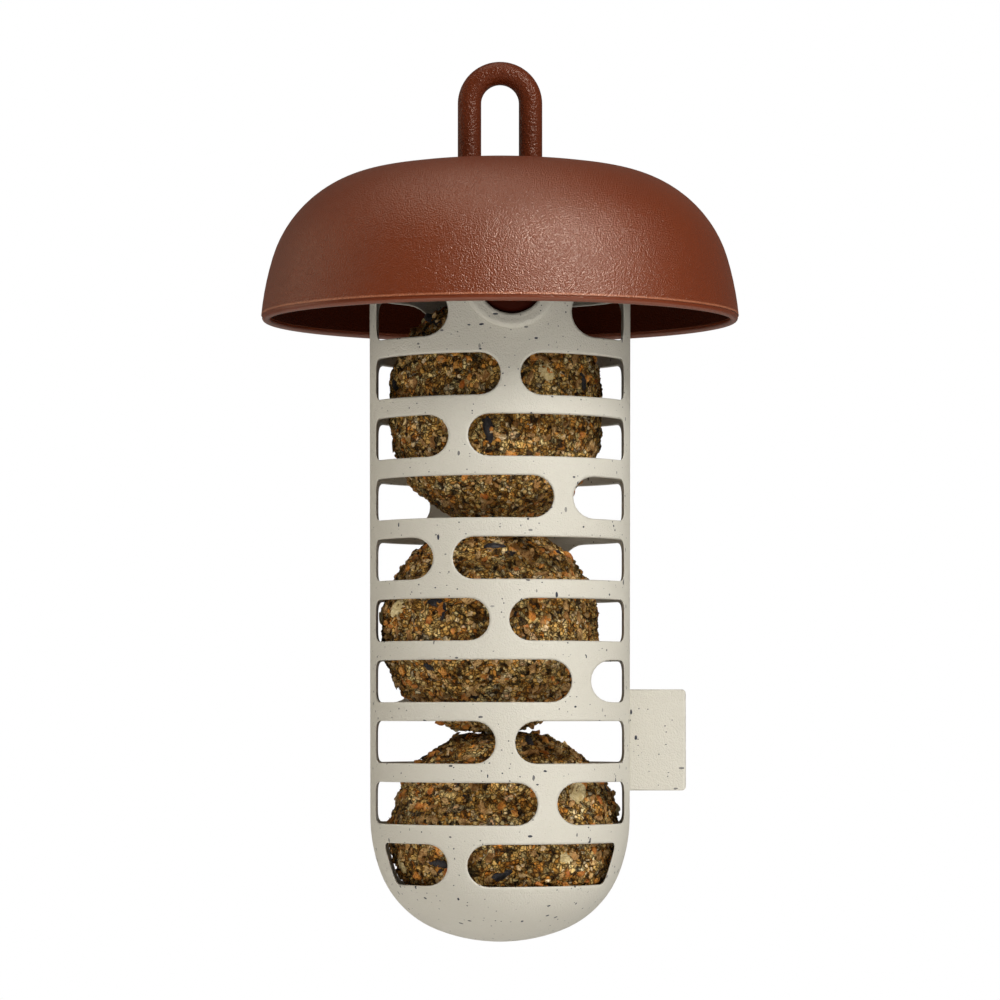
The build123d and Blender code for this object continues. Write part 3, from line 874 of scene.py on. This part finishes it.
seedLooks = {
    "corn": {"light": (0.888, 0.361, 0.059), "deep": (0.337, 0.094, 0.011), "other": (0.749, 0.388, 0.091),
             "roughness": 0.42},
    "grain": {"light": (0.950, 0.780, 0.510), "deep": (0.310, 0.175, 0.050), "other": (0.740, 0.440, 0.150),
              "roughness": 0.45},
    "flake": {"light": (0.950, 0.630, 0.265), "deep": (0.140, 0.056, 0.007), "other": (0.540, 0.265, 0.080),
              "roughness": 0.55},
    "fat": {"light": (0.950, 0.844, 0.518), "deep": (0.565, 0.422, 0.184), "other": (0.881, 0.733, 0.410),
            "roughness": 0.40},
    "husk": {"light": (0.060, 0.058, 0.068), "deep": (0.007, 0.006, 0.007), "other": (0.030, 0.027, 0.030),
             "roughness": 0.38},
}
seedGrain = {"specular": 0.4, "clouds": (330.0, 4.0), "cloudRange": (0.35, 0.65), "fine": (2100.0, 3.0),
             "pitRange": (0.5, 0.38), "pitShade": 0.85, "depth": 0.00035, "lean": 0.35, "smooth": 40,
             "facets": 2, "front": -0.3}
showing = {  # bits that the front shows plainly, by place across and up in millimetres, and size
    "upper": {"husk": [(-3.7, -102.1, 1.4), (23.8, -87.4, 1.0), (-17.8, -70.5, 1.2)], "fat": [(12.6, -85.7, 1.0)]},
    "middle": {"husk": [(-17.0, -149.9, 1.2), (-1.5, -134.4, 1.1), (-19.2, -169.1, 0.9), (16.8, -135.8, 0.8)]},
    "lower": {"husk": [(8.4, -189.3, 0.9), (0.8, -227.3, 1.3)], "fat": [(17.6, -222.6, 0.9)]},
}


def seedMaterial(kind):
    facts = seedLooks[kind]
    material, tree, shader, place = newMaterial("seed_" + kind, facts["roughness"], seedGrain["specular"])
    clouds = noise(tree, place, *seedGrain["clouds"]).outputs["Fac"]
    fine = noise(tree, place, *seedGrain["fine"]).outputs["Fac"]
    each = tree.nodes.new("ShaderNodeNewGeometry").outputs["Random Per Island"]
    pale = blend(tree, each, facts["light"], facts["other"])
    tone = blend(tree, mapped(tree, clouds, *seedGrain["cloudRange"]), facts["deep"], pale)
    # painted shade: darker towards the deep colour in the hollows of the fine bump
    shadedPits = mapped(tree, fine, *seedGrain["pitRange"], 0.0, seedGrain["pitShade"])
    tone = blend(tree, shadedPits, tone, facts["deep"])
    colourAndBump(tree, shader, tone, fine, seedGrain["depth"])
    return material


def scatterSeeds(ball, name, kind, luck):  # bits of one kind pressed into the ball, joined as one piece
    facts = seeds[kind]
    length, width, thickness = facts["size"]
    most = seedGrain["lean"]
    deselectAll()
    bpy.ops.mesh.primitive_ico_sphere_add(subdivisions=facts.get("facets", seedGrain["facets"]), radius=0.5)
    pattern = bpy.context.object
    shape = [vertex.co.copy() for vertex in pattern.data.vertices]
    faces = [tuple(polygon.vertices) for polygon in pattern.data.polygons]
    bpy.data.objects.remove(pattern)
    points, sides = [], []
    spots = [(vertex.co.copy(), vertex.normal.copy(), 1 + facts["spread"] * luck.uniform(-1, 1))
             for vertex in luck.sample(list(ball.data.vertices), facts["count"])]
    front = [vertex for vertex in ball.data.vertices if vertex.normal.y < seedGrain["front"]]
    for across, up, grow in showing[name].get(kind, []):
        nearest = min(front, key=lambda v: (v.co.x - across / 1000) ** 2 + (v.co.z - up / 1000) ** 2)
        spots.append((nearest.co.copy(), nearest.normal.copy(), grow))
    for spot, normal, grow in spots:
        turn = normal.to_track_quat("Z", "Y").to_matrix()
        lean = Vector((luck.uniform(-most, most), luck.uniform(-most, most), 1)).to_track_quat("Z", "Y").to_matrix()
        spin = luck.uniform(0, 2 * math.pi)
        around = Vector((math.cos(spin), math.sin(spin)))
        start = len(points)
        for corner in shape:
            ragged = corner * (1 + facts["rough"] * luck.uniform(-1, 1))
            x, y = ragged.x * length, ragged.y * width
            z = (ragged.z - facts.get("curl", 0.0) * ragged.y ** 2) * thickness
            bit = Vector((x * around.x - y * around.y, x * around.y + y * around.x, z)) * grow
            points.append(spot - normal * thickness * facts["sunk"] + turn @ (lean @ bit))
        sides += [[start + k for k in face] for face in faces]
    mesh = bpy.data.meshes.new(f"suet_ball_{name}_{kind}")
    mesh.from_pydata(points, [], sides)
    bits = bpy.data.objects.new(mesh.name, mesh)
    scene.collection.objects.link(bits)
    pick(bits)
    bpy.ops.object.shade_smooth_by_angle(angle=math.radians(seedGrain["smooth"]))
    dress(bits, seedStuff[kind])
    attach(bits, "cage_assembly")


def makeBall(name):
    facts = balls[name]
    low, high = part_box("suet_ball_" + name)
    middle = (low + high) / 2
    deselectAll()
    bpy.ops.mesh.primitive_ico_sphere_add(subdivisions=ballFacets, radius=facts["radius"])
    ball = bpy.context.object
    ball.name = "suet_ball_" + name + "_pressed"
    half = facts["belt"] / 2
    axis = 2 if facts["upright"] else 0  # the ball is drawn out along this axis
    for vertex in ball.data.vertices:
        vertex.co[axis] += max(-half, min(half, vertex.co[axis]))
        vertex.co += middle
    for lump in lumps:
        texture = bpy.data.textures.new(f"{ball.name}_{lump['size']}", "CLOUDS")
        texture.noise_scale = lump["size"]
        texture.noise_depth = 1
        texture.noise_type = lump["noise"]
        push = ball.modifiers.new("lump", "DISPLACE")
        push.texture = texture
        push.texture_coords = "LOCAL"
        push.strength = lump["depth"]
        push.mid_level = lump["level"]
    applyAll(ball)
    bpy.ops.object.shade_smooth()
    dress(ball, suetStuff)
    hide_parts("suet_ball_" + name)
    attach(ball, "cage_assembly")
    return ball


suetStuff = suetMaterial()
seedStuff = {kind: seedMaterial(kind) for kind in seeds}
for ballName in balls:
    pressed = makeBall(ballName)
    luck = random.Random(balls[ballName]["seed"])
    for kind in seeds:
        scatterSeeds(pressed, ballName, kind, luck)
print("suet balls done")
